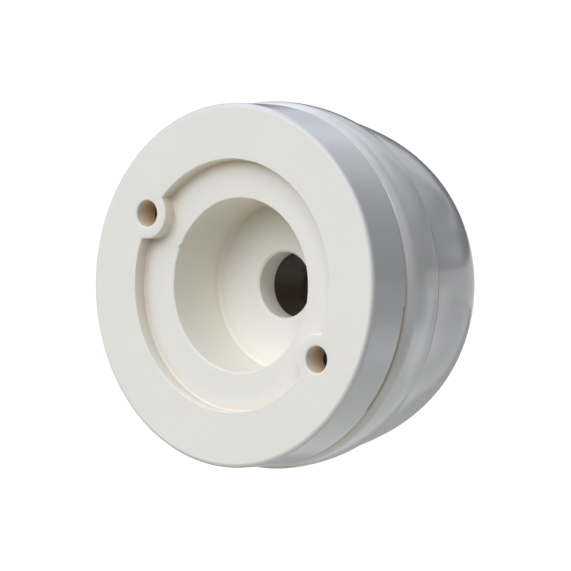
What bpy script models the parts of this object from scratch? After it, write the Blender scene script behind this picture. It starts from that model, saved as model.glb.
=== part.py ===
"""Bolt-on insulator for a fence post.

A stack of three mouldings on one axis: a rear base that bears on the post, a
middle ring with a hub, and a hollow front dome whose rim fits over that hub.
Two long screws hold the stack together from behind, and a steel sleeve inside it
carries the clamping force of the bolt that goes through the middle.

Metres, +Z up. The axis is +Y, from the post outwards, and the origin is at the
centre of the back face. Outlines are (y, radius) points in millimetres.
"""

import math

import bmesh
import bpy

MM = 0.001
GAP = 0.3  # clearance between neighbouring pieces
SEGMENTS = 64  # steps round a large turned piece
SMALL_SEGMENTS = 20  # steps round a screw or its hole
ARC_STEP = 15.0  # largest turn between two points of an outline, degrees
SMOOTH_ANGLE = 35.0  # edges sharper than this stay crisp, degrees
CUT_PAST = 1.0  # how far a cutter reaches beyond the face it opens
TOOL_CUT_PAST = 2.0  # the same for a shape that is cut out of a cutter

# Rear base
BASE_RADIUS = 30.0
BASE_DEPTH = 8.7
FACE_ROUNDING = 0.8
BACK_EDGE_ROUNDING = 0.3
RECESS_RADIUS = 20.8
RECESS_DEPTH = 2.5
POCKET_MOUTH_RADIUS = 14.4
POCKET_FLOOR_RADIUS = 14.2
POCKET_DEPTH = 14.0
POCKET_ROUNDING = 0.6
WEB_THICKNESS = 4.2
SPIGOT_RADIUS = 17.5
SPIGOT_CHAMFER = 0.5
NOTCH_ANGLES = (-43.0, -6.0)
NOTCH_DEPTH = 0.35
NOTCH_REACH = 1.6
NOTCH_SEGMENTS = 8

# Through bolt and the sleeve round it
BOLT_HOLE_RADIUS = 5.5
BOLT_HOLE_CHAMFER = 0.35
SLEEVE_RADIUS = 8.5
SLEEVE_BORE_RADIUS = 6.2
SLEEVE_CHAMFER = 0.4
COLLAR_WALL = 2.0
COLLAR_HEIGHT = 2.0

# Assembly screws
SCREW_CIRCLE_RADIUS = 21.75
SCREW_ANGLES = {"left": 146.8, "right": -33.2}
SCREW_BOSS_RADIUS = 4.15
SCREW_WELL_RADIUS = 2.2
SCREW_WELL_DEPTH = 6.1
SCREW_HEAD_RADIUS = 1.95
SCREW_HEAD_TOP_RADIUS = 1.75
SCREW_HEAD_HEIGHT = 1.6
SCREW_HEAD_CROWN = 0.25
SCREW_CORE_RADIUS = 1.0
SCREW_LENGTH = 25.0
SCREW_TIP = 1.2
SCREW_TIP_RADIUS = 0.35
SCREW_CROSS_LENGTH = 2.2
SCREW_CROSS_WIDTH = 0.55
SCREW_CROSS_DEPTH = 0.9
CLEARANCE_HOLE_RADIUS = 1.5

# Middle ring
RING_BACK_Y = BASE_DEPTH + GAP
RING_START_RADIUS = 29.35
RING_ARCS = ((0.7, 40.0), (2.8, 0.0), (26.0, -14.0), (1.0, -90.0))
HUB_RADIUS = 25.0
HUB_FILLET = 0.3
HUB_END_Y = 23.5
HUB_CHAMFER = 0.4

# Front dome
DOME_LIP_RADIUS = 29.15
DOME_LIP_HEADING = -8.4
DOME_ARCS = ((80.0, -15.0), (30.0, -26.0), (15.0, -40.0), (10.0, -90.0))
DOME_CAVITY_RADIUS = 24.0
DOME_CAVITY_HEADING = -13.0
DOME_CAVITY_ARCS = ((40.0, -26.0), (8.0, -40.0), (6.0, -90.0))
FRONT_POCKET_RADIUS = 12.0
FRONT_POCKET_CHAMFER = 0.4
FRONT_WEB = (27.9, 31.5)
FRONT_TUBE_RADIUS = 14.5
DOME_BOSS_RADIUS = 2.8
DOME_BOSS_END_Y = 33.5
PILOT_END_Y = 32.2

# Slot: (red, green, blue), roughness, metallic
FINISHES = {
    "matte_cream_plastic": ((0.73, 0.73, 0.68), 0.55, 0.0),
    "gloss_white_plastic": ((0.75, 0.76, 0.74), 0.12, 0.0),
    "dark_steel": ((0.10, 0.09, 0.08), 0.45, 1.0),
    "black_oxide_steel": ((0.05, 0.04, 0.035), 0.45, 1.0),
}


def clear_scene():
    for obj in list(bpy.data.objects):
        bpy.data.objects.remove(obj, do_unlink=True)


def finish(slot):
    material = bpy.data.materials.get(slot)
    if material is None:
        color, roughness, metallic = FINISHES[slot]
        material = bpy.data.materials.new(slot)
        material.use_nodes = True
        shader = material.node_tree.nodes["Principled BSDF"]
        shader.inputs["Base Color"].default_value = (*color, 1.0)
        shader.inputs["Roughness"].default_value = roughness
        shader.inputs["Metallic"].default_value = metallic
    return material


def arc_run(start, heading, arcs):
    """Points of tangent arcs after start. Each arc is (radius, heading at its end)."""
    y, r = start
    points = []
    for radius, end in arcs:
        side = 1 if end < heading else -1
        steps = max(1, math.ceil(abs(heading - end) / ARC_STEP))
        first = math.radians(heading)
        centre = (y + side * radius * math.sin(first), r - side * radius * math.cos(first))
        for step in range(1, steps + 1):
            angle = math.radians(heading + (end - heading) * step / steps)
            y = centre[0] - side * radius * math.sin(angle)
            r = centre[1] + side * radius * math.cos(angle)
            points.append((y, r))
        heading = end
    return points


def mesh_object(name, points, faces):
    mesh = bpy.data.meshes.new(name)
    mesh.from_pydata([[value * MM for value in point] for point in points], [], faces)
    shell = bmesh.new()
    shell.from_mesh(mesh)
    bmesh.ops.recalc_face_normals(shell, faces=shell.faces)
    shell.to_mesh(mesh)
    shell.free()
    obj = bpy.data.objects.new(name, mesh)
    bpy.context.scene.collection.objects.link(obj)
    return obj


def turned(name, outline, closed=True, segments=SEGMENTS, angles=(0.0, 360.0)):
    """The outline turned about Y. An open outline gets flat ends, and so does part of a turn."""
    whole = angles[1] - angles[0] == 360.0
    rings = segments if whole else segments + 1
    points = []
    for step in range(rings):
        angle = math.radians(angles[0] + (angles[1] - angles[0]) * step / segments)
        points += [(r * math.cos(angle), y, r * math.sin(angle)) for y, r in outline]
    count = len(outline)
    faces = []
    for step in range(segments):
        near, far = step * count, (step + 1) % rings * count
        for i in range(count if closed else count - 1):
            j = (i + 1) % count
            faces.append((near + i, near + j, far + j, far + i))
    if not closed:
        faces += [range(0, rings * count, count), range(count - 1, rings * count, count)]
    if not whole:
        faces += [range(count), range((rings - 1) * count, rings * count)]
    return mesh_object(name, points, faces)


def rod(name, radius, y_start, y_end, place):
    """A plain cylinder along Y, for a hole, a boss or a cutter."""
    outline = ((y_start, radius), (y_end, radius))
    obj = turned(name, outline, closed=False, segments=SMALL_SEGMENTS)
    obj.location = place
    return obj


def screw_place(side):
    angle = math.radians(SCREW_ANGLES[side])
    radius = SCREW_CIRCLE_RADIUS * MM
    return radius * math.cos(angle), 0.0, radius * math.sin(angle)


def combine(obj, tool, operation):
    """Adds a Boolean to obj and hides its tool from the model."""
    tool.hide_render = True
    tool.display_type = "WIRE"
    modifier = obj.modifiers.new(tool.name, "BOOLEAN")
    modifier.operation = operation
    modifier.object = tool


def complete(obj, slot):
    obj.data.materials.append(finish(slot))
    obj.data.shade_smooth()
    obj.data.set_sharp_from_angle(angle=math.radians(SMOOTH_ANGLE))
    return obj


def collar(y_root, y_end):
    """Outline of a locating collar round the sleeve's end, from its inner to its outer side."""
    inner = SLEEVE_RADIUS + GAP
    outer = inner + COLLAR_WALL
    return [(y_root, inner), (y_end, inner), (y_end, outer), (y_root, outer)]


def recess_tool():
    """The shallow round recess, less the two screw bosses that stand in it."""
    outline = ((-CUT_PAST, RECESS_RADIUS), (RECESS_DEPTH, RECESS_RADIUS))
    tool = turned("recess_tool", outline, closed=False)
    for side in SCREW_ANGLES:
        boss = rod(
            f"recess_boss_{side}",
            SCREW_BOSS_RADIUS,
            -TOOL_CUT_PAST,
            RECESS_DEPTH + CUT_PAST,
            screw_place(side),
        )
        combine(tool, boss, "DIFFERENCE")
    return tool


def notch_tool():
    """The shallow pry notch in the back edge of the base."""
    low_r, high_r = BASE_RADIUS - NOTCH_REACH, BASE_RADIUS + CUT_PAST
    low_y, high_y = BASE_DEPTH - NOTCH_DEPTH, BASE_DEPTH + CUT_PAST
    outline = ((low_y, low_r), (low_y, high_r), (high_y, high_r), (high_y, low_r))
    return turned("notch_tool", outline, segments=NOTCH_SEGMENTS, angles=NOTCH_ANGLES)


def rear_base():
    web_end = POCKET_DEPTH + WEB_THICKNESS
    outline = [(POCKET_DEPTH + BOLT_HOLE_CHAMFER, BOLT_HOLE_RADIUS), (web_end, BOLT_HOLE_RADIUS)]
    outline += collar(web_end, web_end + COLLAR_HEIGHT)
    outline += [
        (web_end, SPIGOT_RADIUS - SPIGOT_CHAMFER),
        (web_end - SPIGOT_CHAMFER, SPIGOT_RADIUS),
        (BASE_DEPTH, SPIGOT_RADIUS),
    ]
    back_edge = (BASE_DEPTH, BASE_RADIUS - BACK_EDGE_ROUNDING)
    outline.append(back_edge)
    outline += arc_run(back_edge, 90.0, ((BACK_EDGE_ROUNDING, 180.0),))
    side_end = (FACE_ROUNDING, BASE_RADIUS)
    outline.append(side_end)
    outline += arc_run(side_end, 180.0, ((FACE_ROUNDING, 270.0),))
    outline.append((0.0, POCKET_MOUTH_RADIUS))
    pocket_corner = (POCKET_DEPTH - POCKET_ROUNDING, POCKET_FLOOR_RADIUS)
    outline.append(pocket_corner)
    outline += arc_run(pocket_corner, 0.0, ((POCKET_ROUNDING, -90.0),))
    outline.append((POCKET_DEPTH, BOLT_HOLE_RADIUS + BOLT_HOLE_CHAMFER))
    base = turned("rear_base", outline)
    combine(base, recess_tool(), "DIFFERENCE")
    combine(base, notch_tool(), "DIFFERENCE")
    for side in SCREW_ANGLES:
        place = screw_place(side)
        well = rod(f"well_{side}", SCREW_WELL_RADIUS, -CUT_PAST, SCREW_WELL_DEPTH, place)
        hole = rod(f"base_hole_{side}", CLEARANCE_HOLE_RADIUS, -CUT_PAST, BASE_DEPTH + CUT_PAST, place)
        combine(base, well, "DIFFERENCE")
        combine(base, hole, "DIFFERENCE")
    return complete(base, "matte_cream_plastic")


def middle_ring():
    bore = SPIGOT_RADIUS + GAP
    start = (RING_BACK_Y, RING_START_RADIUS)
    outline = [(RING_BACK_Y, bore), start] + arc_run(start, 90.0, RING_ARCS)
    wall_y = outline[-1][0]
    hub_start = (wall_y, HUB_RADIUS + HUB_FILLET)
    outline.append(hub_start)
    outline += arc_run(hub_start, -90.0, ((HUB_FILLET, 0.0),))
    outline += [
        (HUB_END_Y - HUB_CHAMFER, HUB_RADIUS),
        (HUB_END_Y, HUB_RADIUS - HUB_CHAMFER),
        (HUB_END_Y, bore),
    ]
    ring = turned("middle_ring", outline)
    for side in SCREW_ANGLES:
        low_y, high_y = RING_BACK_Y - CUT_PAST, HUB_END_Y + CUT_PAST
        hole = rod(f"ring_hole_{side}", CLEARANCE_HOLE_RADIUS, low_y, high_y, screw_place(side))
        combine(ring, hole, "DIFFERENCE")
    return complete(ring, "gloss_white_plastic"), wall_y


def front_dome(rim_y):
    """The hollow dome. Its rim, at rim_y, fits over the ring's hub."""
    socket_radius = HUB_RADIUS + GAP
    socket_y = HUB_END_Y + GAP
    web_back, web_front = FRONT_WEB
    lip = (rim_y, DOME_LIP_RADIUS)
    cavity = (socket_y, DOME_CAVITY_RADIUS)
    outer = [lip] + arc_run(lip, DOME_LIP_HEADING, DOME_ARCS)
    inner = [cavity] + arc_run(cavity, DOME_CAVITY_HEADING, DOME_CAVITY_ARCS)
    front_y = outer[-1][0]
    ceiling_y = inner[-1][0]
    outline = outer + [
        (front_y, FRONT_POCKET_RADIUS + FRONT_POCKET_CHAMFER),
        (front_y - FRONT_POCKET_CHAMFER, FRONT_POCKET_RADIUS),
        (web_front, FRONT_POCKET_RADIUS),
        (web_front, BOLT_HOLE_RADIUS),
        (web_back, BOLT_HOLE_RADIUS),
    ]
    outline += collar(web_back, web_back - COLLAR_HEIGHT)
    outline += [(web_back, FRONT_TUBE_RADIUS), (ceiling_y, FRONT_TUBE_RADIUS)]
    outline += inner[::-1]
    outline += [(socket_y, socket_radius), (rim_y, socket_radius)]
    dome = turned("front_dome", outline)
    for side in SCREW_ANGLES:
        place = screw_place(side)
        boss = rod(f"dome_boss_{side}", DOME_BOSS_RADIUS, socket_y + GAP, DOME_BOSS_END_Y, place)
        pilot = rod(f"pilot_{side}", SCREW_CORE_RADIUS + GAP, socket_y - CUT_PAST, PILOT_END_Y, place)
        combine(dome, boss, "UNION")
        combine(dome, pilot, "DIFFERENCE")
    return complete(dome, "gloss_white_plastic")


def centre_sleeve():
    """Steel tube between the two webs, which keeps the bolt from crushing the hollow dome."""
    low_y = POCKET_DEPTH + WEB_THICKNESS + GAP
    high_y = FRONT_WEB[0] - GAP
    outline = [
        (low_y, SLEEVE_BORE_RADIUS),
        (low_y, SLEEVE_RADIUS - SLEEVE_CHAMFER),
        (low_y + SLEEVE_CHAMFER, SLEEVE_RADIUS),
        (high_y - SLEEVE_CHAMFER, SLEEVE_RADIUS),
        (high_y, SLEEVE_RADIUS - SLEEVE_CHAMFER),
        (high_y, SLEEVE_BORE_RADIUS),
    ]
    return complete(turned("centre_sleeve", outline), "dark_steel")


def cross_tool(name, y_end, place):
    """The cross recess that the screwdriver turns."""
    long, short = SCREW_CROSS_LENGTH / 2, SCREW_CROSS_WIDTH / 2
    quarter = ((long, -short), (long, short), (short, short))
    corners = []
    for turn in range(4):
        cos, sin = round(math.cos(turn * math.pi / 2)), round(math.sin(turn * math.pi / 2))
        corners += [(x * cos - z * sin, x * sin + z * cos) for x, z in quarter]
    count = len(corners)
    points = [(x, y_end - SCREW_CROSS_DEPTH - CUT_PAST, z) for x, z in corners]
    points += [(x, y_end, z) for x, z in corners]
    faces = [range(count), range(count, 2 * count)]
    faces += [(i, (i + 1) % count, (i + 1) % count + count, i + count) for i in range(count)]
    tool = mesh_object(name, points, faces)
    tool.location = place
    return tool


def assembly_screw(side):
    seat = SCREW_WELL_DEPTH - GAP
    head_y = seat - SCREW_HEAD_HEIGHT
    end_y = seat + SCREW_LENGTH
    outline = (
        (head_y, SCREW_HEAD_TOP_RADIUS),
        (head_y + SCREW_HEAD_CROWN, SCREW_HEAD_RADIUS),
        (seat, SCREW_HEAD_RADIUS),
        (seat, SCREW_CORE_RADIUS),
        (end_y - SCREW_TIP, SCREW_CORE_RADIUS),
        (end_y, SCREW_TIP_RADIUS),
    )
    screw = turned(f"assembly_screw_{side}", outline, closed=False, segments=SMALL_SEGMENTS)
    screw.location = screw_place(side)
    combine(screw, cross_tool(f"cross_{side}", head_y + SCREW_CROSS_DEPTH, screw_place(side)), "DIFFERENCE")
    return complete(screw, "black_oxide_steel")


def main():
    clear_scene()
    rear_base()
    _, ring_front_y = middle_ring()
    front_dome(ring_front_y + GAP)
    centre_sleeve()
    for side in SCREW_ANGLES:
        assembly_screw(side)


main()
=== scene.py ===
"""Fence insulator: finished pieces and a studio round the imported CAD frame.

The axis is +Y, from the post outwards, +Z is up, and the origin is the centre of the
back face. Shape constants are in millimetres, as in the part, and everything built
from them is scaled to metres. Outlines are (y, radius) points.
"""

import math

import bmesh
import bpy
from mathutils import Matrix, Vector


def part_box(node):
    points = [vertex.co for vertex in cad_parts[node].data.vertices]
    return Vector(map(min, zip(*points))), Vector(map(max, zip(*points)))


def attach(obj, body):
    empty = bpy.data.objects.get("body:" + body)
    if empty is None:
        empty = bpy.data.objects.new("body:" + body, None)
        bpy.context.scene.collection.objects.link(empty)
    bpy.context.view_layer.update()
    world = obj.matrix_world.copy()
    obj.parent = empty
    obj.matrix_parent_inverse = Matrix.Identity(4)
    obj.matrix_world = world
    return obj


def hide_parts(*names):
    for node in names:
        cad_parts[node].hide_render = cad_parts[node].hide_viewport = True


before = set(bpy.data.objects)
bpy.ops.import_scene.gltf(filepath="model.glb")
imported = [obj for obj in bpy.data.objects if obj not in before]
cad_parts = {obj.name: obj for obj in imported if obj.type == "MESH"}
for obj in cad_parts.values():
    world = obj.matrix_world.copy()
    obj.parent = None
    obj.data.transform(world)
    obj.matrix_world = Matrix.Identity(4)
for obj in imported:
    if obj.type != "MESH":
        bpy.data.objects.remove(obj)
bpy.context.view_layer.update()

MM = 0.001
SEGMENTS = 256
WELD = 1e-4
ARC_STEP = 7.5  # degrees between the points of an arc
ARC_REACH = 60.0  # at most these degrees times millimetres of radius, about 1 mm of arc
EDGE = 0.15  # small edge rounding of the mouldings
CHAMFER = 0.4  # broken edges of the ring's hub and the front pocket
SHARP_ANGLE = 32.0
WELL_SEGMENTS = 64
SCREW_SEGMENTS = 32
SLEEVE_SEGMENTS = 128


def extent(node):
    """Lowest and highest corner of a CAD node in millimetres."""
    low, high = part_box(node)
    return low / MM, high / MM


_, BASE_HIGH = extent("rear_base")
RING_LOW, RING_HIGH = extent("middle_ring")
DOME_LOW, _ = extent("front_dome")
SLEEVE_LOW, SLEEVE_HIGH = extent("centre_sleeve")
SCREW_LOW, SCREW_HIGH = extent("assembly_screw_left")

# Rear base
BASE_RADIUS = BASE_HIGH.x
BASE_DEPTH = 8.7
FACE_ROUNDING = 0.8
BACK_ROUNDING = 0.3
RECESS_RADIUS = 20.8
RECESS_DEPTH = 2.5
RECESS_CORNER = 0.45
RECESS_FILLET = 0.3
RECESS_RIM_ROUNDING = 0.18
CORNER_SPACING = 0.12  # between points along the recess's corners, bosses and edge
BOSS_SPACING = 0.3
RECESS_SPACING = 0.5
MOUTH_RADIUS = 14.4
MOUTH_ROUNDING = 0.25
FLASH_HEIGHT = 0.07  # uneven flash round the left of the pocket's mouth
FLASH_MIDDLE = 150.0
FLASH_REACH = 70.0
FLASH_PHASE = 1.3
FLASH_END = (RECESS_DEPTH + 1.4, MOUTH_RADIUS - 0.03)
NICK_DEPTH = 0.35  # a nick in the pocket's mouth
NICK_ANGLE = 154.0
NICK_WIDTH = 2.5
POCKET_FLOOR_RADIUS = 14.2
POCKET_DEPTH = 14.0
POCKET_FILLET = 0.6
WEB_END = 18.2
SPIGOT_RADIUS = 17.5
SPIGOT_CHAMFER = 0.5
NOTCH_ANGLES = (-43.0, -6.0)  # shallow step in the front edge
NOTCH_DEPTH = 0.35
NOTCH_RADIUS = BASE_RADIUS - 1.6
NOTCH_RAMP = 0.5  # degrees from the edge to the step's full depth
NOTCH_CLEAR = 0.8  # degrees beside its ends that hold no other points

# Bolt hole, collar and screws
BOLT_HOLE_RADIUS = 5.5
BOLT_HOLE_CHAMFER = 0.35
BOLT_HOLE_MARGIN = 0.3
COLLAR_RADII = (8.8, 10.8)
COLLAR_HEIGHT = 2.0
SLEEVE_BORE_RADIUS = 6.2
SLEEVE_CHAMFER = 0.4
SCREW_CIRCLE_RADIUS = 21.75
SCREW_ANGLES = {"left": 146.8, "right": -33.2}
BOSS_RADIUS = 4.15
WELL_RADIUS = 2.2
WELL_DEPTH = 6.1
WELL_ROUNDING = 0.3
CLEARANCE_RADIUS = 1.5
SCREW_HEAD_RADIUS = 1.95
SCREW_HEAD_TOP_RADIUS = 1.75
SCREW_HEAD_HEIGHT = 1.6
SCREW_HEAD_ROUNDING = 0.3
SCREW_HEAD_SLOPE = 60.0
SCREW_CORE_RADIUS = 1.0
SCREW_THREAD_HEIGHT = 0.22
SCREW_PITCH = 1.1
SCREW_RIDGE = 0.3  # half the thread's width, as a fraction of the pitch
SCREW_NECK = 0.2
THREAD_ROWS = 8  # rows of points in one pitch
SCREW_TIP = 1.2
SCREW_TIP_RADIUS = 0.35
CROSS_LENGTH = 2.2
CROSS_WIDTH = 0.55
CROSS_DEPTH = 0.9
CROSS_TAPER = 0.75
CROSS_OVERRUN = 0.3

# Middle ring
RING_START_RADIUS = 29.35
RING_ARCS = ((0.7, 40.0), (2.8, 0.0), (26.0, -14.0), (1.0, -90.0))
HUB_RADIUS = 25.0
HUB_FILLET = 0.3
RING_BORE = 17.8

# Dome
DOME_LIP_RADIUS = 29.15
DOME_LIP_HEADING = -8.4
DOME_LIP_ROUNDING = 0.08
DOME_ARCS = ((80.0, -15.0), (30.0, -26.0), (15.0, -40.0), (10.0, -90.0))
CAVITY_RADIUS = 24.0
CAVITY_HEADING = -13.0
CAVITY_ARCS = ((40.0, -26.0), (8.0, -40.0), (6.0, -90.0))
SOCKET_RADIUS = 25.3
SOCKET_Y = 23.8
FRONT_POCKET_RADIUS = 12.0
FRONT_WEB = (27.9, 31.5)
FRONT_TUBE_RADIUS = 14.5
DOME_BOSS_RADIUS = 2.8
DOME_BOSS_START = SOCKET_Y + 0.3
DOME_BOSS_END = 33.5
PILOT_RADIUS = 1.3
PILOT_START = SOCKET_Y - 1.0
PILOT_END = 32.2


# ---------------------------------------------------------------- outlines


def arc_run(start, heading, arcs):
    """Points of tangent arcs after start. Each arc is (radius, heading at its end)."""
    y, r = start
    points = []
    for radius, end in arcs:
        side = 1 if end < heading else -1
        sweep = abs(heading - end)
        steps = max(1, math.ceil(sweep / ARC_STEP), math.ceil(sweep * radius / ARC_REACH))
        first = math.radians(heading)
        centre = (y + side * radius * math.sin(first), r - side * radius * math.cos(first))
        for i in range(1, steps + 1):
            angle = math.radians(heading + (end - heading) * i / steps)
            y = centre[0] - side * radius * math.sin(angle)
            r = centre[1] + side * radius * math.cos(angle)
            points.append((y, r))
        heading = end
    return points


def rounded(points, radius, steps=4):
    """An open polyline with each inner corner rounded, as far as its sides allow."""
    result = [points[0]]
    for before, corner, after in zip(points, points[1:], points[2:]):
        p, c, n = Vector(before), Vector(corner), Vector(after)
        a, b = (p - c), (n - c)
        turn = a.angle(b)
        reach = min(radius / math.tan(turn / 2), a.length * 0.45, b.length * 0.45)
        start, end = c + a.normalized() * reach, c + b.normalized() * reach
        for i in range(steps + 1):
            t = i / steps
            point = start * (1 - t) ** 2 + c * 2 * t * (1 - t) + end * t**2
            result.append(tuple(point))
    return result + [points[-1]]


def quarter(steps):
    """Angles in radians from just above 0 to a right angle."""
    return [math.radians(90 * i / steps) for i in range(1, steps + 1)]


# ---------------------------------------------------------------- meshes


class Shell:
    """One mesh put together from lathed strips, lofts and flat plates, in millimetres."""

    def __init__(self):
        self.bm = bmesh.new()

    def loft(self, rings, closed_ends=False):
        """Quads between successive rings of (x, y, z) points; each ring closes on itself."""
        rows = [[self.bm.verts.new(p) for p in ring] for ring in rings]
        count = len(rows[0])
        for near, far in zip(rows, rows[1:]):
            for i in range(count):
                j = (i + 1) % count
                self.bm.faces.new((near[i], near[j], far[j], far[i]))
        if closed_ends:
            self.bm.faces.new(rows[0])
            self.bm.faces.new(rows[-1])

    def lathe(self, outline, angles, centre=(0.0, 0.0)):
        """outline is a list of (y, r), or a function of the angle in degrees that gives one."""
        columns = [outline(angle) if callable(outline) else outline for angle in angles]
        cx, cz = centre
        rings = []
        for k in range(len(columns[0])):
            ring = []
            for angle, column in zip(angles, columns):
                y, r = column[k]
                a = math.radians(angle)
                ring.append((cx + r * math.cos(a), y, cz + r * math.sin(a)))
            rings.append(ring)
        self.loft(rings)
        return rings

    def plate(self, loops):
        """A flat face inside the first loop and outside the others."""
        edges = []
        for loop in loops:
            verts = [self.bm.verts.new(p) for p in loop]
            edges += [self.bm.edges.new((a, b)) for a, b in zip(verts, verts[1:] + verts[:1])]
        bmesh.ops.triangle_fill(self.bm, use_beauty=True, use_dissolve=False, edges=edges)

    def finish(self, name, closed=True):
        """The mesh as an object in metres. Open edges are printed where it should be closed."""
        bm = self.bm
        bmesh.ops.remove_doubles(bm, verts=bm.verts[:], dist=WELD)
        bmesh.ops.dissolve_degenerate(bm, dist=WELD / 2, edges=bm.edges[:])
        bmesh.ops.recalc_face_normals(bm, faces=bm.faces[:])
        open_edges = sum(not edge.is_manifold for edge in bm.edges)
        if open_edges and closed:
            print(f"SHELL {name}: {open_edges} open edges")
        bmesh.ops.scale(bm, vec=(MM, MM, MM), verts=bm.verts[:])
        mesh = bpy.data.meshes.new(name)
        bm.to_mesh(mesh)
        bm.free()
        mesh.shade_smooth()
        mesh.set_sharp_from_angle(angle=math.radians(SHARP_ANGLE))
        obj = bpy.data.objects.new(name, mesh)
        bpy.context.scene.collection.objects.link(obj)
        return obj


def circle(radius, y, centre, count):
    cx, cz = centre
    angles = (2 * math.pi / count * i for i in range(count))
    return [(cx + radius * math.cos(a), y, cz + radius * math.sin(a)) for a in angles]


def even_angles(count=SEGMENTS):
    return [360.0 * i / count for i in range(count)]


def screw_centre(side):
    angle = math.radians(SCREW_ANGLES[side])
    return SCREW_CIRCLE_RADIUS * math.cos(angle), SCREW_CIRCLE_RADIUS * math.sin(angle)


def cutter(name, y_start, y_end, radius, centre):
    shell = Shell()
    rings = [circle(radius, y, centre, SCREW_SEGMENTS) for y in (y_start, y_end)]
    shell.loft(rings, closed_ends=True)
    return shell.finish(name)


def apply_boolean(obj, tool, operation):
    """Add the tool to the object or cut it out, and delete the tool."""
    modifier = obj.modifiers.new(tool.name, "BOOLEAN")
    modifier.operation = operation
    modifier.object = tool
    modifier.solver = "EXACT"
    graph = bpy.context.evaluated_depsgraph_get()
    mesh = bpy.data.meshes.new_from_object(obj.evaluated_get(graph))
    obj.modifiers.clear()
    old = obj.data
    obj.data = mesh
    bpy.data.meshes.remove(old)
    mesh.name = obj.name
    bpy.data.objects.remove(tool)
    mesh.shade_smooth()
    mesh.set_sharp_from_angle(angle=math.radians(SHARP_ANGLE))


def weigh_normals(obj):
    modifier = obj.modifiers.new("weighted", "WEIGHTED_NORMAL")
    modifier.mode = "FACE_AREA"
    modifier.weight = 50
    modifier.keep_sharp = True


# ---------------------------------------------------------------- rear base


def polar(radius, angle):
    """The point (x, z) at an angle in radians round the axis."""
    return Vector((math.cos(angle), math.sin(angle))) * radius


def recess_outline():
    """The recess's edge round the two standing bosses: points and their outward directions."""
    points = []

    def arc(centre, radius, start, end, outward, spacing):
        steps = max(4, math.ceil(abs(end - start) * radius / spacing))
        for i in range(steps):
            angle = start + (end - start) * i / steps
            direction = polar(1.0, angle)
            points.append((centre + direction * radius, direction * outward))

    bosses = sorted(SCREW_ANGLES.values())
    inner = RECESS_RADIUS - RECESS_CORNER
    reach = BOSS_RADIUS + RECESS_CORNER
    cosine = (inner**2 + SCREW_CIRCLE_RADIUS**2 - reach**2) / (2 * inner * SCREW_CIRCLE_RADIUS)
    spread = math.acos(cosine)
    for index, degrees in enumerate(bosses):
        middle = math.radians(degrees)
        following = math.radians(bosses[(index + 1) % 2]) + (2 * math.pi if index else 0.0)
        boss = polar(SCREW_CIRCLE_RADIUS, middle)
        for side in (-1, 1):
            radial = middle + side * spread
            centre = polar(inner, radial)
            towards = boss - centre
            facing = math.atan2(towards.y, towards.x)
            while facing - radial > math.pi:
                facing -= 2 * math.pi
            while facing - radial < -math.pi:
                facing += 2 * math.pi
            if side < 0:
                arc(centre, RECESS_CORNER, radial, facing, 1, CORNER_SPACING)
                away = -towards
                first = math.atan2(away.y, away.x)
                mirrored = polar(inner, middle + spread) - boss
                last = math.atan2(mirrored.y, mirrored.x)
                while last > first:
                    last -= 2 * math.pi
                arc(boss, BOSS_RADIUS, first, last, -1, BOSS_SPACING)
            else:
                arc(centre, RECESS_CORNER, facing, radial, 1, CORNER_SPACING)
        start, end = middle + spread, following - spread
        arc(Vector((0.0, 0.0)), RECESS_RADIUS, start, end, 1, RECESS_SPACING)
    return points


def offset_loop(points, distance, y):
    return [((p + n * distance).x, y, (p + n * distance).y) for p, n in points]


def wobble(angle, phase):
    """A small smooth irregularity round the axis, from -1 to 1."""
    a = math.radians(angle)
    waves = ((0.5, 7, 1.0), (0.3, 17, 2.1), (0.2, 31, 3.7))
    return sum(size * math.sin(count * a + shift * phase) for size, count, shift in waves)


def apart(angle, other):
    """Degrees between two directions round the axis."""
    return abs((angle - other + 180) % 360 - 180)


def dip(angle, middle, width):
    """1 at the middle angle, falling smoothly to 0 at width degrees away."""
    t = apart(angle, middle) / width
    return 0.0 if t >= 1 else (1 - t * t) ** 2


def base_outer(angle):
    """Outline of the base from its face's outer edge over the side to the wall at the ring."""
    start, end = NOTCH_ANGLES
    local = (angle + 180) % 360 - 180
    inside = min(max(min(local - start, end - local) / NOTCH_RAMP, 0.0), 1.0)
    back = BASE_DEPTH - NOTCH_DEPTH * inside
    side_start = (0.0, BASE_RADIUS - FACE_ROUNDING)
    outline = [side_start] + arc_run(side_start, 90.0, ((FACE_ROUNDING, 0.0),))
    edge_start = (back - BACK_ROUNDING, BASE_RADIUS)
    outline.append(edge_start)
    outline += arc_run(edge_start, 0.0, ((BACK_ROUNDING, -90.0),))
    outline += [(back, NOTCH_RADIUS), (BASE_DEPTH, NOTCH_RADIUS)]
    return outline


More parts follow.
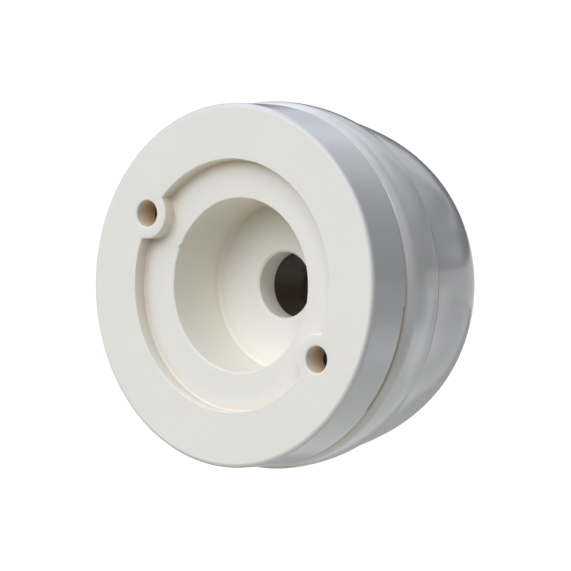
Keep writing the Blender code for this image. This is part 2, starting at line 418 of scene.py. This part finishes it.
def base_inner(angle):
    """Outline of the base from the recess floor through the pocket and hole to the spigot."""
    flash = FLASH_HEIGHT * wobble(angle, FLASH_PHASE) * dip(angle, FLASH_MIDDLE, FLASH_REACH)
    nick = NICK_DEPTH * dip(angle, NICK_ANGLE, NICK_WIDTH)
    mouth = MOUTH_RADIUS + flash + nick
    outline = [(RECESS_DEPTH, mouth + MOUTH_ROUNDING)]
    outline += [
        (
            RECESS_DEPTH + MOUTH_ROUNDING * (1 - math.cos(a)),
            mouth + MOUTH_ROUNDING * (1 - math.sin(a)),
        )
        for a in quarter(5)
    ]
    wall_end = (POCKET_DEPTH - POCKET_FILLET, POCKET_FLOOR_RADIUS)
    outline += [FLASH_END, wall_end]
    outline += arc_run(wall_end, 0.0, ((POCKET_FILLET, -90.0),))
    chamfer_radius = BOLT_HOLE_RADIUS + BOLT_HOLE_CHAMFER
    outline += rounded(
        [
            (POCKET_DEPTH, chamfer_radius + BOLT_HOLE_MARGIN),
            (POCKET_DEPTH, chamfer_radius),
            (POCKET_DEPTH + BOLT_HOLE_CHAMFER, BOLT_HOLE_RADIUS),
            (WEB_END, BOLT_HOLE_RADIUS),
            (WEB_END, COLLAR_RADII[0]),
            (WEB_END + COLLAR_HEIGHT, COLLAR_RADII[0]),
            (WEB_END + COLLAR_HEIGHT, COLLAR_RADII[1]),
            (WEB_END, COLLAR_RADII[1]),
            (WEB_END, SPIGOT_RADIUS - SPIGOT_CHAMFER),
            (WEB_END - SPIGOT_CHAMFER, SPIGOT_RADIUS),
            (BASE_DEPTH, SPIGOT_RADIUS),
        ],
        EDGE,
    )
    return outline


def side_angles():
    """Even angles, with the ends of the notch's ramps in place of the angles beside them."""
    start, end = NOTCH_ANGLES

    def clear(angle):
        return all(apart(angle, n) > NOTCH_CLEAR for n in NOTCH_ANGLES)

    ramps = (start, start + NOTCH_RAMP, end - NOTCH_RAMP, end)
    return sorted([a for a in even_angles() if clear(a)] + [a % 360 for a in ramps])


def recess_profile():
    """(y, outward distance) from the recess's floor up its wall to the face."""
    fillet, rim = RECESS_FILLET, RECESS_RIM_ROUNDING
    profile = [(RECESS_DEPTH, -fillet)]
    profile += [
        (RECESS_DEPTH - fillet * (1 - math.cos(a)), -fillet * (1 - math.sin(a))) for a in quarter(5)
    ]
    profile.append((rim, 0.0))
    return profile + [(rim * (1 - math.sin(a)), rim * (1 - math.cos(a))) for a in quarter(4)]


def well_outline():
    """Outline of a screw's well, from its soft mouth to the ring."""
    mouth = [
        (WELL_ROUNDING * (1 - math.sin(a)), WELL_RADIUS + WELL_ROUNDING * (1 - math.cos(a)))
        for a in reversed(quarter(6))
    ]
    return mouth + rounded(
        [
            (WELL_ROUNDING, WELL_RADIUS),
            (WELL_DEPTH, WELL_RADIUS),
            (WELL_DEPTH, CLEARANCE_RADIUS),
            (BASE_DEPTH, CLEARANCE_RADIUS),
        ],
        EDGE,
    )


def build_base():
    shell = Shell()
    outer = shell.lathe(base_outer, side_angles())
    inner = shell.lathe(base_inner, even_angles())
    edge = recess_outline()
    rings = [offset_loop(edge, d, y) for y, d in recess_profile()]
    shell.loft(rings)
    shell.plate([rings[0], inner[0]])
    well, angles = well_outline(), even_angles(WELL_SEGMENTS)
    wells = [shell.lathe(well, angles, screw_centre(side)) for side in SCREW_ANGLES]
    shell.plate([outer[0], rings[-1]] + [well_rings[0] for well_rings in wells])
    shell.plate([outer[-1], inner[-1]] + [well_rings[-1] for well_rings in wells])
    return shell.finish("rear_base_moulding")


# ---------------------------------------------------------------- ring and dome


def build_ring():
    shell = Shell()
    back, end = RING_LOW.y, RING_HIGH.y
    start = (back, RING_START_RADIUS)
    outline = [start] + arc_run(start, 90.0, RING_ARCS)
    wall = outline[-1][0]
    hub_start = (wall, HUB_RADIUS + HUB_FILLET)
    outline.append(hub_start)
    outline += arc_run(hub_start, -90.0, ((HUB_FILLET, 0.0),))
    outline += [(end - CHAMFER, HUB_RADIUS), (end, HUB_RADIUS - CHAMFER)]
    outer = shell.lathe(outline, even_angles())
    bore = shell.lathe([(end, RING_BORE), (back, RING_BORE)], even_angles())
    passage = [(back, CLEARANCE_RADIUS), (end, CLEARANCE_RADIUS)]
    angles = even_angles(SCREW_SEGMENTS)
    holes = [shell.lathe(passage, angles, screw_centre(side)) for side in SCREW_ANGLES]
    shell.plate([outer[0], bore[-1]] + [hole[0] for hole in holes])
    shell.plate([outer[-1], bore[0]] + [hole[-1] for hole in holes])
    return shell.finish("middle_ring_moulding")


def build_dome():
    shell = Shell()
    rim = DOME_LOW.y
    lip = (rim, DOME_LIP_RADIUS)
    cavity = (SOCKET_Y, CAVITY_RADIUS)
    outer = [lip] + arc_run(lip, DOME_LIP_HEADING, DOME_ARCS)
    inner = [cavity] + arc_run(cavity, CAVITY_HEADING, CAVITY_ARCS)
    front, ceiling = outer[-1][0], inner[-1][0]
    web_back, web_front = FRONT_WEB
    inside = rounded(
        [
            outer[-1],
            (front, FRONT_POCKET_RADIUS + CHAMFER),
            (front - CHAMFER, FRONT_POCKET_RADIUS),
            (web_front, FRONT_POCKET_RADIUS),
            (web_front, BOLT_HOLE_RADIUS),
            (web_back, BOLT_HOLE_RADIUS),
            (web_back, COLLAR_RADII[0]),
            (web_back - COLLAR_HEIGHT, COLLAR_RADII[0]),
            (web_back - COLLAR_HEIGHT, COLLAR_RADII[1]),
            (web_back, COLLAR_RADII[1]),
            (web_back, FRONT_TUBE_RADIUS),
            (ceiling, FRONT_TUBE_RADIUS),
            inner[-1],
        ],
        EDGE,
    )
    rim_corner = rounded([(rim, SOCKET_RADIUS), lip, outer[1]], DOME_LIP_ROUNDING)
    outline = rim_corner[:-1] + outer[1:] + inside[1:-1] + inner[::-1]
    outline += [(SOCKET_Y, SOCKET_RADIUS), (rim, SOCKET_RADIUS)]
    shell.lathe(outline, even_angles())
    dome = shell.finish("front_dome_moulding")
    for side in SCREW_ANGLES:
        centre = screw_centre(side)
        boss = cutter(f"boss_{side}", DOME_BOSS_START, DOME_BOSS_END, DOME_BOSS_RADIUS, centre)
        apply_boolean(dome, boss, "UNION")
        pilot = cutter(f"pilot_{side}", PILOT_START, PILOT_END, PILOT_RADIUS, centre)
        apply_boolean(dome, pilot, "DIFFERENCE")
    return dome


# ---------------------------------------------------------------- sleeve and screws


def build_sleeve():
    shell = Shell()
    low, high, radius = SLEEVE_LOW.y, SLEEVE_HIGH.y, SLEEVE_HIGH.x
    outline = rounded(
        [
            (low, SLEEVE_BORE_RADIUS),
            (low, radius - SLEEVE_CHAMFER),
            (low + SLEEVE_CHAMFER, radius),
            (high - SLEEVE_CHAMFER, radius),
            (high, radius - SLEEVE_CHAMFER),
            (high, SLEEVE_BORE_RADIUS),
        ],
        EDGE,
    )
    shell.lathe(outline + outline[:1], even_angles(SLEEVE_SEGMENTS))
    return shell.finish("centre_sleeve_tube")


def thread_radius(y, angle, start, end):
    """Radius of the screw's shank, with one thread that runs out at both ends."""
    phase = (y / SCREW_PITCH - angle / 360.0) % 1.0
    ridge = max(0.0, 1.0 - abs(phase - 0.5) / SCREW_RIDGE)
    fade = min(1.0, max(0.0, (y - start) / SCREW_PITCH), max(0.0, (end - y) / SCREW_PITCH))
    return SCREW_CORE_RADIUS + SCREW_THREAD_HEIGHT * ridge * fade


def cut_cross(screw, side):
    """Cut the cross recess into a screw's head, as two tapered slots."""
    cx, cz = screw_centre(side)
    long, short = CROSS_LENGTH / 2, CROSS_WIDTH / 2
    corners = ((-1, -1), (1, -1), (1, 1), (-1, 1))
    levels = ((SCREW_LOW.y - CROSS_OVERRUN, 1.0), (SCREW_LOW.y + CROSS_DEPTH, CROSS_TAPER))
    for width, height in ((long, short), (short, long)):
        rings = [
            [(cx + sx * width * taper, y, cz + sz * height * taper) for sx, sz in corners]
            for y, taper in levels
        ]
        slot = Shell()
        slot.loft(rings, closed_ends=True)
        apply_boolean(screw, slot.finish(f"cross_{side}"), "DIFFERENCE")


def build_screw(side):
    """A pan head with a cross recess, and a threaded shank."""
    shell = Shell()
    head, tip = SCREW_LOW.y, SCREW_HIGH.y
    seat, shank_end = head + SCREW_HEAD_HEIGHT, tip - SCREW_TIP
    top = (head, SCREW_HEAD_TOP_RADIUS)
    crown = arc_run(top, SCREW_HEAD_SLOPE, ((SCREW_HEAD_ROUNDING, 0.0),))
    pan = [top] + [(y, min(r, SCREW_HEAD_RADIUS)) for y, r in crown] + [(seat, SCREW_HEAD_RADIUS)]
    rows = THREAD_ROWS * math.ceil((shank_end - seat) / SCREW_PITCH)
    levels = [seat + (shank_end - seat) * i / rows for i in range(rows + 1)]

    def outline(angle):
        shank = [(y, thread_radius(y, angle, seat + SCREW_NECK, shank_end)) for y in levels]
        return pan + shank + [(tip, SCREW_TIP_RADIUS)]

    rings = shell.lathe(outline, even_angles(SCREW_SEGMENTS), screw_centre(side))
    shell.plate([rings[0]])
    shell.plate([rings[-1]])
    screw = shell.finish(f"assembly_screw_{side}_detailed")
    cut_cross(screw, side)
    return screw


# ---------------------------------------------------------------- materials

HOLLOW_SAMPLES = 12


class Tree:
    """Short names for building a node tree."""

    def __init__(self, tree):
        self.tree = tree

    def new(self, kind):
        return self.tree.nodes.new(kind)

    def link(self, source, target):
        self.tree.links.new(source, target)

    def put(self, node, socket, value):
        """Link an output to a socket, or give the socket a plain value."""
        if isinstance(value, bpy.types.NodeSocket):
            self.link(value, node.inputs[socket])
        else:
            node.inputs[socket].default_value = value

    def math(self, operation, a, b=0.0):
        node = self.new("ShaderNodeMath")
        node.operation = operation
        self.put(node, 0, a)
        self.put(node, 1, b)
        return node.outputs[0]

    def vector(self, operation, a, b=(0.0, 0.0, 0.0)):
        """The node of a vector operation, whose results are in its outputs."""
        node = self.new("ShaderNodeVectorMath")
        node.operation = operation
        self.put(node, 0, a)
        self.put(node, 1, b)
        return node

    def ramp(self, value, from_low, from_high, to_low, to_high, kind="LINEAR"):
        """A value taken from one range to another and held at the ends."""
        node = self.new("ShaderNodeMapRange")
        node.interpolation_type = kind
        node.clamp = True
        self.put(node, "Value", value)
        self.put(node, "From Min", from_low)
        self.put(node, "From Max", from_high)
        self.put(node, "To Min", to_low)
        self.put(node, "To Max", to_high)
        return node.outputs["Result"]

    def mix(self, factor, a, b):
        node = self.new("ShaderNodeMix")
        node.data_type = "RGBA"
        for index, value in ((0, factor), (6, a), (7, b)):
            self.put(node, index, (*value, 1.0) if isinstance(value, tuple) else value)
        return node.outputs[2]


class Nodes(Tree):
    """A new material and the node tree it gets."""

    def __init__(self, name):
        self.material = bpy.data.materials.new(name)
        self.material.use_nodes = True
        super().__init__(self.material.node_tree)
        self.shader = self.tree.nodes["Principled BSDF"]
        self.place = self.new("ShaderNodeTexCoord").outputs["Object"]

    def noise(self, size_mm, detail=3.0):
        """A noise from 0 to 1 whose features are about size_mm across."""
        node = self.new("ShaderNodeTexNoise")
        node.inputs["Scale"].default_value = 1.0 / (size_mm * MM)
        node.inputs["Detail"].default_value = detail
        node.inputs["Roughness"].default_value = 0.5
        self.link(self.place, node.inputs["Vector"])
        return node.outputs["Fac"]

    def bump(self, height, distance_mm, normal=None):
        node = self.new("ShaderNodeBump")
        node.inputs["Strength"].default_value = 1.0
        node.inputs["Distance"].default_value = distance_mm * MM
        self.link(height, node.inputs["Height"])
        if normal is not None:
            self.link(normal, node.inputs["Normal"])
        return node.outputs["Normal"]

    def hollow(self, reach_mm):
        """Occlusion: 0 on an open surface, rising towards 1 deep in a hollow about reach_mm across.
        The plastics paint shade with it.
        """
        node = self.new("ShaderNodeAmbientOcclusion")
        node.samples = HOLLOW_SAMPLES
        node.inputs["Distance"].default_value = reach_mm * MM
        return self.math("SUBTRACT", 1.0, node.outputs["AO"])

    def beyond(self, start, full):
        """0 up to the start radius round the part's axis, and 1 from the full radius."""
        flat = self.vector("MULTIPLY", self.place, (1.0, 0.0, 1.0))
        radius = self.vector("LENGTH", flat.outputs[0]).outputs["Value"]
        return self.ramp(radius, start * MM, full * MM, 0.0, 1.0)

    def finish_plastic(self, index):
        """What both plastics share: a refractive index and a little light below the surface."""
        self.put(self.shader, "IOR", index)
        self.put(self.shader, "Subsurface Weight", 0.12)
        self.put(self.shader, "Subsurface Radius", (1.0, 0.7, 0.4))
        self.put(self.shader, "Subsurface Scale", MM)
        return self.material


def base_plastic():
    """Satin cream on the face and glossy on the side, with painted shade: the side darker grey and
    a tan tint in the hollows.
    """
    n = Nodes("base_plastic_cream")
    tone = n.mix(n.noise(18.0, 2.0), (0.840, 0.802, 0.705), (0.862, 0.828, 0.735))
    speckle = n.ramp(n.noise(0.9, 2.0), 0.3, 0.75, 0.0, 1.0)
    colour = n.mix(n.math("MULTIPLY", speckle, 0.35), tone, (0.825, 0.782, 0.675))
    side = n.beyond(BASE_RADIUS - 0.7, BASE_RADIUS - 0.15)
    # Painted shade: the side of the same moulding gets a darker grey colour for the shade it sits
    # in.
    colour = n.mix(side, colour, (0.622, 0.614, 0.588))
    # Painted shade: a tan tint that grows with occlusion in the hollows, for warm bounced shade.
    hollow = n.hollow(4.0)
    colour = n.mix(n.ramp(hollow, 0.25, 0.85, 0.0, 0.60), colour, (0.78, 0.58, 0.36))
    # Painted shade: a darker brown where occlusion is high in the recess's corners.
    corner = n.math("MULTIPLY", n.ramp(hollow, 0.20, 0.50, 0.0, 0.35), n.beyond(16.5, 18.5))
    colour = n.mix(corner, colour, (0.60, 0.50, 0.38))
    # Painted shade: an orange-brown where occlusion is high, deep in the screw wells.
    deep = n.math("MULTIPLY", n.ramp(hollow, 0.35, 0.70, 0.0, 0.90), n.beyond(21.0, 21.5))
    colour = n.mix(deep, colour, (0.98, 0.67, 0.32))
    n.link(colour, n.shader.inputs["Base Color"])
    satin = n.ramp(n.noise(4.0), 0.3, 0.7, 0.46, 0.56)
    gloss = n.ramp(n.noise(6.0), 0.3, 0.7, 0.13, 0.19)
    on_face = n.math("MULTIPLY", satin, n.math("SUBTRACT", 1.0, side))
    on_side = n.math("MULTIPLY", gloss, side)
    n.link(n.math("ADD", on_face, on_side), n.shader.inputs["Roughness"])
    grain = n.bump(n.noise(0.22, 4.0), 0.006)
    n.link(n.bump(n.noise(5.0, 1.0), 0.02, grain), n.shader.inputs["Normal"])
    return n.finish_plastic(1.5)


def gloss_plastic():
    n = Nodes("gloss_plastic_white")
    tone = n.mix(n.noise(22.0, 2.0), (0.660, 0.648, 0.612), (0.684, 0.673, 0.638))
    # Painted shade: a brown tint where occlusion is high, in the crevices and joints.
    crevice_shade = n.ramp(n.hollow(1.2), 0.3, 0.9, 0.0, 0.45)
    n.link(n.mix(crevice_shade, tone, (0.55, 0.44, 0.30)), n.shader.inputs["Base Color"])
    n.link(n.ramp(n.noise(5.0), 0.3, 0.7, 0.10, 0.16), n.shader.inputs["Roughness"])
    fine = n.bump(n.noise(0.5, 3.0), 0.001)
    n.link(n.bump(n.noise(7.0, 1.0), 0.03, fine), n.shader.inputs["Normal"])
    return n.finish_plastic(1.65)


def sleeve_steel():
    n = Nodes("sleeve_steel_dark_brown")
    # A very dark brown, partly metallic steel.
    tone = n.mix(n.noise(1.2, 4.0), (0.085, 0.052, 0.022), (0.125, 0.080, 0.040))
    n.link(tone, n.shader.inputs["Base Color"])
    n.link(n.ramp(n.noise(0.6), 0.3, 0.7, 0.5, 0.75), n.shader.inputs["Roughness"])
    n.link(n.bump(n.noise(0.15, 4.0), 0.01), n.shader.inputs["Normal"])
    n.shader.inputs["Metallic"].default_value = 0.35
    return n.material


def screw_steel():
    n = Nodes("screw_steel_black_oxide")
    tone = n.mix(n.noise(0.8, 4.0), (0.060, 0.036, 0.018), (0.100, 0.064, 0.036))
    n.link(tone, n.shader.inputs["Base Color"])
    n.link(n.ramp(n.noise(0.5), 0.3, 0.7, 0.42, 0.6), n.shader.inputs["Roughness"])
    n.link(n.bump(n.noise(0.12, 3.0), 0.004), n.shader.inputs["Normal"])
    n.shader.inputs["Metallic"].default_value = 1.0
    return n.material


def pale_floor():
    n = Nodes("pale_floor")
    tone = n.mix(n.noise(150.0, 3.0), (0.80, 0.80, 0.80), (0.83, 0.83, 0.83))
    n.link(tone, n.shader.inputs["Base Color"])
    n.link(n.ramp(n.noise(40.0), 0.3, 0.7, 0.6, 0.75), n.shader.inputs["Roughness"])
    return n.material


# ---------------------------------------------------------------- pieces


def add_piece(obj, material, slot, *nodes):
    obj.data.materials.clear()
    obj.data.materials.append(material)
    weigh_normals(obj)
    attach(obj, "root")
    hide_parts(*nodes)


# ---------------------------------------------------------------- studio

VIEW_AZIMUTH = 39.42
VIEW_ELEVATION = 0.44
VIEW_DISTANCE = 0.713
AIM_RIGHT, AIM_UP = 9.15 * MM, -0.02 * MM
LENS, SENSOR = 273.6, 36.0
FLOOR_Z = -0.35
FLOOR_RADIUS = 2.6
FLOOR_SIDES = 96
BACKGROUND_WHITE = (1.06, 1.06, 1.06)  # a little over 1, so that it stays pure white
FULL_TURN, HALF_TURN = 360.0, 180.0


def camera_axes():
    """The camera's right, its up, and the way back from the part to it."""
    a, e = math.radians(VIEW_AZIMUTH), math.radians(VIEW_ELEVATION)
    back = Vector((math.sin(a) * math.cos(e), -math.cos(a) * math.cos(e), math.sin(e)))
    right = Vector((math.cos(a), math.sin(a), 0.0))
    return right, back.cross(right), back


def add_camera():
    right, up, back = camera_axes()
    data = bpy.data.cameras.new("camera")
    data.lens = LENS
    data.sensor_width = SENSOR
    data.clip_start = 0.01
    data.clip_end = 50.0
    camera = bpy.data.objects.new("camera", data)
    place = back * VIEW_DISTANCE + right * AIM_RIGHT + up * AIM_UP
    facing = Matrix((right, up, back)).transposed().to_4x4()
    camera.matrix_world = Matrix.Translation(place) @ facing
    bpy.context.scene.collection.objects.link(camera)
    bpy.context.scene.camera = camera


def add_floor():
    """A pale disc well below the part, seen by the camera only."""
    shell = Shell()
    radius, height = FLOOR_RADIUS / MM, FLOOR_Z / MM
    angles = [math.radians(a) for a in even_angles(FLOOR_SIDES)]
    rim = [(math.cos(a) * radius, math.sin(a) * radius, height) for a in angles]
    shell.bm.faces.new([shell.bm.verts.new(point) for point in rim])
    floor = shell.finish("floor", closed=False)
    floor.data.materials.append(pale_floor())
    floor.visible_diffuse = floor.visible_glossy = floor.visible_shadow = False


# What the studio shows the part: name, azimuth from and to (0 towards the camera, 90 to its
# right), elevation from and to, softness of the edges, and radiance.
STUDIO = (
    ("key softbox", (-64, -10), (8, 42), 5, (3.10, 3.28, 3.72)),
    ("key corner", (-2, 12), (30, 48), 2, (6.20, 6.20, 6.30)),
    ("key edge", (-3, 12), (4, 30), 2.5, (1.90, 1.90, 1.85)),
    ("key left spill", (-95, -64), (10, 46), 5, (1.00, 1.15, 1.50)),
    ("key right spill", (12, 26), (12, 31), 4, (0.30, 0.33, 0.36)),
    ("front ceiling", (-180, 0), (44, 68), 5, (1.68, 1.75, 1.98)),
    ("rear ceiling", (125, 180), (33, 68), 5, (0.75, 0.80, 0.90)),
    ("back wall", (150, 200), (17, 44), 2, (0.62, 0.64, 0.70)),
    ("back wall left", (200, 235), (6, 44), 4, (0.60, 0.62, 0.68)),
    ("zenith", (-200, 200), (68, 95), 5, (0.86, 0.97, 1.23)),
    ("far wall", (112, 150), (21.5, 40), 4, (0.42, 0.43, 0.46)),
    ("far corner", (118, 141), (6, 18), 2, (0.14, 0.14, 0.16)),
    ("far streak low", (128, 137), (6, 11), 1.5, (0.30, 0.31, 0.34)),
    ("far streak high", (137, 157), (12.5, 16), 1.2, (0.34, 0.35, 0.38)),
    ("horizon behind", (112, 176), (-4, 4.2), 0.8, (0.74, 0.75, 0.78)),
    ("horizon near", (115, 126), (-16, -1), 1.5, (0.55, 0.56, 0.58)),
    ("table behind", (112, 152), (-28, -4), 2, (0.68, 0.69, 0.74)),
    ("table edge", (102, 130), (-48, -15), 4, (1.06, 1.08, 1.16)),
    ("table edge far", (130, 176), (-48, -27), 4, (0.90, 0.92, 0.98)),
    ("table far", (152, 230), (-28, -4), 3, (0.30, 0.31, 0.34)),
    ("table right", (70, 112), (-45, 0), 1, (0.50, 0.52, 0.62)),
    ("left wall", (-180, -95), (-12, 6), 4, (0.45, 0.58, 0.48)),
    ("table left", (-125, -60), (-45, -12), 4, (0.66, 0.54, 0.34)),
    ("table below", (-200, 200), (-95, -45), 5, (0.88, 0.91, 0.88)),
)


def bearings(n):
    """Azimuth from the camera's side and elevation of a direction, in degrees."""
    right, _, back = camera_axes()
    level = Vector((back.x, back.y, 0.0)).normalized()
    direction = n.new("ShaderNodeTexCoord").outputs["Generated"]

    def along(axis):
        return n.vector("DOT_PRODUCT", direction, axis).outputs["Value"]

    degree = HALF_TURN / math.pi
    azimuth = n.math("MULTIPLY", n.math("ARCTAN2", along(right), along(level)), degree)
    height = n.math("ARCSINE", along((0.0, 0.0, 1.0)))
    return azimuth, n.math("MULTIPLY", height, degree)


def window(n, angle, low, high, soft):
    """1 where an angle from the middle of low and high is inside them, with soft edges."""
    half = (high - low) / 2
    away = n.math("ABSOLUTE", angle)
    return n.ramp(away, half - soft, half + soft, 1.0, 0.0, "SMOOTHSTEP")


def patch(n, azimuth, elevation, azimuths, elevations, soft, colour):
    """The light of one patch of the studio. Its sides are twice as soft as top and bottom."""
    # A turn and a half more keeps MODULO's input above 0, and half a turn less centres it.
    turned = n.math("SUBTRACT", azimuth, sum(azimuths) / 2 - FULL_TURN - HALF_TURN)
    sideways = n.math("SUBTRACT", n.math("MODULO", turned, FULL_TURN), HALF_TURN)
    upwards = n.math("SUBTRACT", elevation, sum(elevations) / 2)
    across = window(n, sideways, *azimuths, 2 * soft)
    amount = n.math("MULTIPLY", across, window(n, upwards, *elevations, soft))
    light = n.vector("SCALE", colour)
    n.put(light, "Scale", amount)
    return light.outputs[0]


def add_world():
    """The studio as patches of light by direction, and plain white where the camera looks."""
    world = bpy.data.worlds.new("studio")
    bpy.context.scene.world = world
    world.use_nodes = True
    world.node_tree.nodes.clear()
    n = Tree(world.node_tree)
    azimuth, elevation = bearings(n)
    total, *others = [patch(n, azimuth, elevation, *row[1:]) for row in STUDIO]
    for light in others:
        total = n.vector("ADD", total, light).outputs[0]
    seen = n.new("ShaderNodeLightPath").outputs["Is Camera Ray"]
    background = n.new("ShaderNodeBackground")
    n.put(background, "Color", n.mix(seen, total, BACKGROUND_WHITE))
    output = n.new("ShaderNodeOutputWorld")
    n.put(output, "Surface", background.outputs["Background"])
    world.cycles.sampling_method = "MANUAL"
    world.cycles.sample_map_resolution = 1024


# ---------------------------------------------------------------- scene

base_material, gloss_material = base_plastic(), gloss_plastic()
add_piece(build_base(), base_material, "base_plastic", "rear_base")
add_piece(build_ring(), gloss_material, "gloss_plastic", "middle_ring")
add_piece(build_dome(), gloss_material, "gloss_plastic", "front_dome")
add_piece(build_sleeve(), sleeve_steel(), "sleeve_steel", "centre_sleeve")
dark_steel = screw_steel()
for side in SCREW_ANGLES:
    add_piece(build_screw(side), dark_steel, "screw_steel", f"assembly_screw_{side}")

add_camera()
add_floor()
add_world()
bpy.context.scene.view_settings.view_transform = "Standard"
